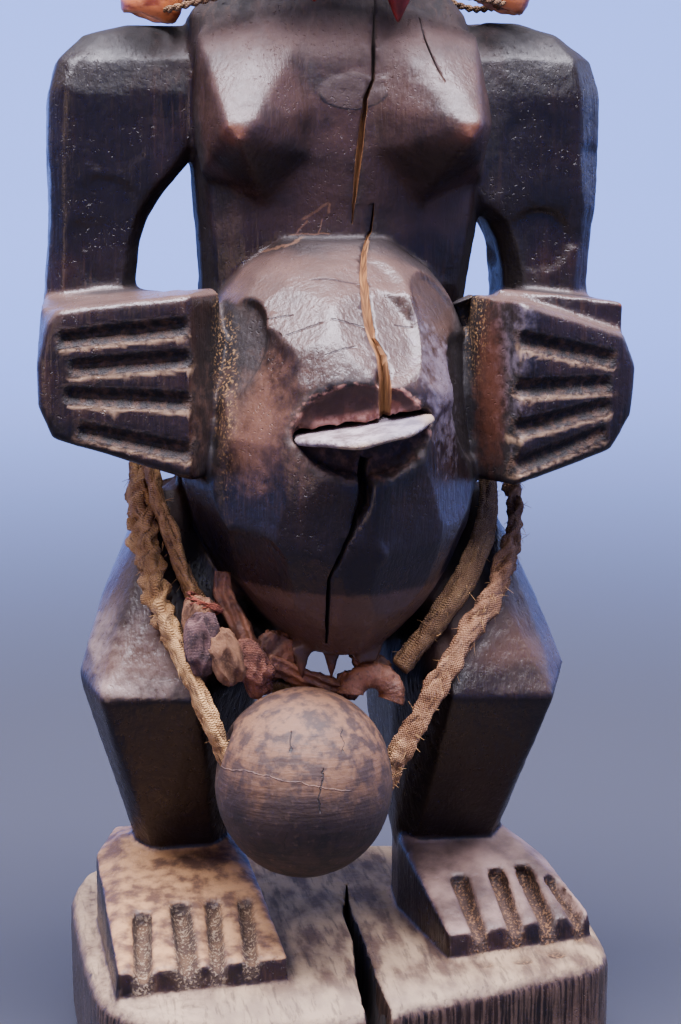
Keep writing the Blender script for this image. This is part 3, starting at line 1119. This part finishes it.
def lump(work, centre, radii, lean, seed, rough, folds=0):
    """Adds a knotted lump with folds round it."""
    made = bmesh.ops.create_icosphere(work, subdivisions=LUMP_DETAIL, radius=1)["verts"]
    base = np.array([v.co for v in made])
    ridged = np.abs(waves(base * 10, 9, seed, 2, (1, 1, 0.3))) - 0.4
    wavy = 1 - 0.22 * rough * ridged
    if folds:
        wander = 1.5 * base[:, 0] + 1.6 * waves(base * 10, 12, seed + 1, 2)
        wavy = wavy + 0.07 * np.sin(base[:, 2] * folds + wander)
    boxy = (np.abs(base) ** 3).sum(1) ** (-1 / 3)
    shape = base * (wavy * boxy)[:, None] * np.array(radii)
    x, z = leaned(shape[:, 0], shape[:, 2], lean)
    turned = np.column_stack([x, shape[:, 1], z])
    for vert, spot in zip(made, turned + centre):
        vert.co = spot / 1000


knot_work = bmesh.new()
turn = np.linspace(math.radians(176), math.radians(-22), 60)
roll = np.column_stack([6.0 + 5.2 * np.cos(turn), -40.2 + 0.8 * np.sin(turn), 98.0 + 4.8 * np.sin(turn)])
ribbon(knot_work, roll, (0.15, 1, -0.2), np.linspace(8.4, 9.6, len(turn)), 6.2, 0.16)
share = np.linspace(0, 1, 30)
fold = np.column_stack([
    2.0 + 8.4 * share, -36.4 + 0.6 * np.sin(5 * share),
    104.4 + 2.4 * np.sin(math.pi * (0.2 + 0.7 * share)) - 2.2 * share,
])
ribbon(knot_work, fold, (0.1, 0.5, 0.9), np.linspace(5, 5.6, len(share)), 2.2, 0.2)
lump(knot_work, (0.6, -38.4, 100.0), (3.2, 3.6, 3.2), 0.3, 33, 1.0, 9)
knot_mesh = meshed("knot", knot_work)
crumpled(knot_mesh, 71, 4, 0.5)
knot_hide = stand_for(placed("rolled_knot", knot_mesh, hide()), "cord_knot")


# Bundle: ends of cotton cloth and two straps of hide, tied over the cord at the left of the crotch. One
# end is purplish grey, one tan and one reddish, and red thread is wound above them.
def knotted_cloth(name, dark, light, spots, ribs):
    """Old cotton, faded and stained, with its threads and folds."""
    f = Finish(name)
    patch, fine = f.noise(4, 4), f.noise(0.6, 3, shift=3)
    weave = (f.x * 8).maths("SINE", f.x * 8) * (f.z * 8).maths("SINE", f.z * 8)
    lines = f.node("ShaderNodeTexWave", {
        "Vector": f.at, "Scale": ribs, "Distortion": 1.6, "Detail": 2.0, "Detail Scale": 1.0,
    }, out="Fac", wave_type="BANDS", bands_direction="Z")
    f.colour = f.paint(patch.step(0.3, 0.7), dark, light)
    f.coat(fine.step(0.5, 0.7) * 0.4, spots)
    f.coat(lines.step(0.5, 0.2) * 0.3, dark)
    return f.done(0.93, f.relief(lines * 0.3 + fine * 0.6 + patch * 0.6 + weave * 0.12, 0.5, 0.9))


# The lumps of grey, tan and reddish cloth and of hide: middle, half sizes, lean, seed and roughness
BUNDLE_LUMPS = [
    [((-36.6, -42.6, 113.0), (4.1, 3.8, 7.4), 0.05, 51, 1.3)],
    [
        ((-31.0, -43.8, 109.6), (4.0, 3.4, 6.6), -0.35, 52, 1.2),
        ((-37.2, -40.0, 119.6), (3.6, 3.2, 4.4), 0.1, 57, 1.2),
    ],
    [
        ((-24.6, -42.0, 107.4), (4.2, 3.2, 6.0), -0.75, 53, 1.2),
        ((-22.4, -40.4, 101.6), (3.0, 2.8, 3.0), -0.4, 55, 1.2),
    ],
    [((-17.0, -35.6, 108.4), (5.6, 2.4, 4.8), 0.5, 58, 1.3)],
]

bundle_work = bmesh.new()
limits = []
for lumps in BUNDLE_LUMPS:
    for lump_values in lumps:
        lump(bundle_work, *lump_values)
    limits.append(len(bundle_work.faces))
share = np.linspace(0, 1, 40)
strap = np.column_stack([
    np.interp(share, [0, 0.2, 0.5, 1], [-30.2, -30.6, -27.4, -24.0]), -33.5 - 6 * share,
    np.interp(share, [0, 0.2, 0.5, 1], [129, 124, 117.5, 110]),
])
ribbon(bundle_work, strap, (0.9, -0.1, 0.35), 4.4 + np.sin(3.1 * share), 2.6, 0.3)
tail_strap = np.column_stack([
    -20.4 + 19.6 * share, -38.6 + np.sin(4 * share),
    np.interp(share, [0, 0.45, 1], [106.4, 102.6, 99.4]),
])
ribbon(bundle_work, tail_strap, (0.1, -0.3, 0.9), 6.0 - 1.4 * share, 2.4, 0.35)
limits[-1] = len(bundle_work.faces)
turn = np.linspace(0, 2 * math.pi, 28)
for number in range(5):
    loop = np.column_stack([4 * np.cos(turn), 4 * np.sin(turn), 2.2 * np.cos(turn + 0.4 + number * 0.7)])
    loop += (-36.4 + number * 0.25, -39.0, 119.0 + number * 0.9)
    ribbon(bundle_work, loop, (0, 0, 1), np.full(len(turn), 0.8), 0.8)
bundle_mesh = meshed("bundle", bundle_work)
crumpled(bundle_mesh, 81, 5, 0.5, (1, 1, 0.4))
bundle = placed(
    "tied_cloth_bundle", bundle_mesh,
    knotted_cloth("grey cloth", (48, 32, 34), (112, 80, 76), (138, 104, 92), 0.9),
    knotted_cloth("tan cloth", (84, 54, 36), (152, 108, 76), (168, 128, 96), 1.1),
    knotted_cloth("striped cloth", (80, 44, 34), (146, 92, 70), (170, 124, 98), 0.8),
    hide(),
    knotted_cloth("red thread", (86, 40, 28), (154, 76, 52), (168, 106, 78), 0.9),
)
limits.append(len(bundle_mesh.polygons))
for face in bundle_mesh.polygons:
    face.material_index = next(k for k, limit in enumerate(limits) if face.index < limit)
stand_for(bundle, "cloth_bundle")


# Necklace: a thin dark thread of two plies round the neck, with two cut shells at the sides and two
# pointed red beads in front. Its ends are tied behind the neck.
NECK_STEP = 0.0006
PLY_THICK = 0.00115
PLY_OFF = 0.00045
PLY_LAY = 0.005
NECK_ROUTE = [
    (0.0022, 0.0228, 0.2816), (0.011, 0.0208, 0.2806), (0.0205, 0.0158, 0.2776),
    (0.0305, 0.0115, 0.2726), (0.0395, 0.006, 0.2686), (0.0453, -0.002, 0.269),
    (0.0435, -0.012, 0.2692), (0.031, -0.0185, 0.2708), (0.016, -0.0205, 0.2736),
    (0.005, -0.0202, 0.275), (-0.006, -0.02, 0.2749), (-0.017, -0.0195, 0.273),
    (-0.029, -0.018, 0.2698), (-0.04, -0.0135, 0.267), (-0.044, -0.004, 0.2666),
    (-0.0395, 0.006, 0.2682), (-0.0305, 0.0115, 0.2726), (-0.0205, 0.0158, 0.2776),
    (-0.011, 0.0208, 0.2806), (-0.0022, 0.0228, 0.2816),
]

neck_line = smooth_line(NECK_ROUTE, NECK_STEP)
neck_axes = frames_on(neck_line, neck_line * np.array([0, 0, 1]))
neck_work = bmesh.new()
neck_layers = [neck_work.verts.layers.float.new(name) for name in ("run", "pink", "dark", "shade", "across")]
neck_run = np.arange(len(neck_line)) * NECK_STEP
for ply in range(2):
    phase = 2 * math.pi * (neck_run / PLY_LAY + ply / 2)
    aside = neck_axes[2] * np.cos(phase)[:, None] + neck_axes[1] * np.sin(phase)[:, None]
    thick, none = np.full(len(neck_line), PLY_THICK), np.zeros(len(neck_line))
    values = [neck_run, none, none + 1, none + ply / 2]
    strand(neck_work, neck_line + aside * PLY_OFF, neck_axes, thick, thick, none, neck_layers, values, 6)
thread = placed("necklace_thread", meshed("necklace thread", neck_work), cloth)
stand_for(thread, "necklace_cord")


SHELL_SIDES = 64
WHORL_STEPS = 46
WHORL_ANGLE = 4.6
BEAD_SIDES = 32


def shell_skin():
    """Glossy orange-brown shell with darker bands, paler where it is cut."""
    f = Finish("shell skin")
    bands, fine = f.noise(5, 4, (1, 1, 2.2)), f.noise(1.2, 4, shift=4)
    f.colour = f.paint(bands.step(0.35, 0.65), (112, 48, 22), (188, 106, 54))
    f.coat(fine.step(0.58, 0.75) * 0.4, (80, 34, 20))
    cut = f.mark("cut")
    f.coat(cut * 0.7, (218, 186, 156))
    return f.done(0.28 + fine * 0.15, f.relief(bands * 0.5 + fine * 0.5, 0.3, 0.5))


def cut_shell(name, node, at, radius, width, turn, whorl_turn):
    """A ring cut from a shell, with the whorl's wall curling inside it."""
    work = bmesh.new()
    cut_layer = work.verts.layers.float.new("cut")
    half = width / 2

    def spot(radial, angle, height):
        """A point of the shell, given from its middle."""
        px, pz = leaned(radial * math.cos(angle), height, turn)
        return (np.array([px, radial * math.sin(angle), pz]) + at) / 1000

    wall = [
        (radius - 1.3, half, 1), (radius - 0.75, half + 0.15, 1), (radius - 0.25, half - 0.1, 0.6),
        (radius + 0.05, half * 0.45, 0), (radius, -half * 0.3, 0), (radius - 0.7, -half * 0.85, 0),
        (radius - 1.4, -half, 0.5), (radius - 2.0, -half * 0.95, 0.3), (radius - 1.5, -half * 0.3, 0.2),
        (radius - 1.3, half * 0.5, 0.3),
    ]
    rings = []
    for angle in round_turns(SHELL_SIDES):
        dent = 0.25 * math.sin(3 * angle + 1) + 0.12 * math.sin(9 * angle)
        ring = []
        for radial, height, paleness in wall:
            vert = work.verts.new(spot(radial + dent * 0.5, angle, height + dent))
            vert[cut_layer] = paleness
            ring.append(vert)
        rings.append(ring)
    bridged(work, [*rings, rings[0]], capped=False)
    rings = []
    for k in range(WHORL_STEPS):
        share = k / (WHORL_STEPS - 1)
        angle = whorl_turn + share * WHORL_ANGLE
        radial = (radius - 1.7) * (1 - 0.72 * share)
        ring = []
        for off, high in [(-0.35, 0.6), (0.35, 0.6), (0.45, -0.8), (-0.45, -0.8)]:
            height = half * high
            vert = work.verts.new(spot(radial + off, angle, height * (1 - 0.2 * share)))
            vert[cut_layer] = 0.8 if height > 0 else 0.1
            ring.append(vert)
        rings.append(ring)
    bridged(work, rings)
    return stand_for(placed(name, meshed(name, work), orange_shell), node)


orange_shell = shell_skin()
shells = [
    cut_shell("cut_shell_left", "shell_left", (-44.5, -5.5, 269), 7.7, 8, 0.25, 2.6),
    cut_shell("cut_shell_right", "shell_right", (45.2, -5.5, 271.8), 7, 8, 0.3, 0.4),
]


def bead_skin():
    """Dark red, smooth and a little streaked."""
    f = Finish("red bead")
    streak = f.noise(3, 4, (1, 1, 0.4))
    f.colour = f.paint(streak.step(0.35, 0.7), (78, 20, 20), (128, 40, 36))
    return f.done(0.3, f.relief(streak, 0.2, 0.5))


def pointed_bead(name, node, at, radius, length, lean):
    """A bead pointed below and pierced near its top."""
    outline = [
        (0.0, -0.62), (0.12, -0.585), (0.28, -0.49), (0.5, -0.35), (0.74, -0.2), (0.92, -0.05), (1.0, 0.09),
        (0.97, 0.2), (0.82, 0.3), (0.52, 0.36), (0.2, 0.378), (0.0, 0.38),
    ]
    work = bmesh.new()
    rings = []
    for share, height in outline:
        ring = []
        for a in round_turns(BEAD_SIDES):
            px = radius * share * math.cos(a)
            py, pz = leaned(radius * share * math.sin(a), length * height, -lean)
            ring.append(work.verts.new((Vector((px, py, pz)) + Vector(at)) / 1000))
        rings.append(ring)
    bridged(work, rings, capped=False)
    bmesh.ops.remove_doubles(work, verts=work.verts, dist=1e-6)
    return stand_for(placed(name, meshed(name, work), dark_red), node)


dark_red = bead_skin()
beads = [
    pointed_bead("pointed_bead_long", "bead_long", (15.5, -21.6, 271.6), 3.7, 13, 0.12),
    pointed_bead("pointed_bead_short", "bead_short", (-5.5, -21.5, 274), 3.2, 9, 0.12),
]
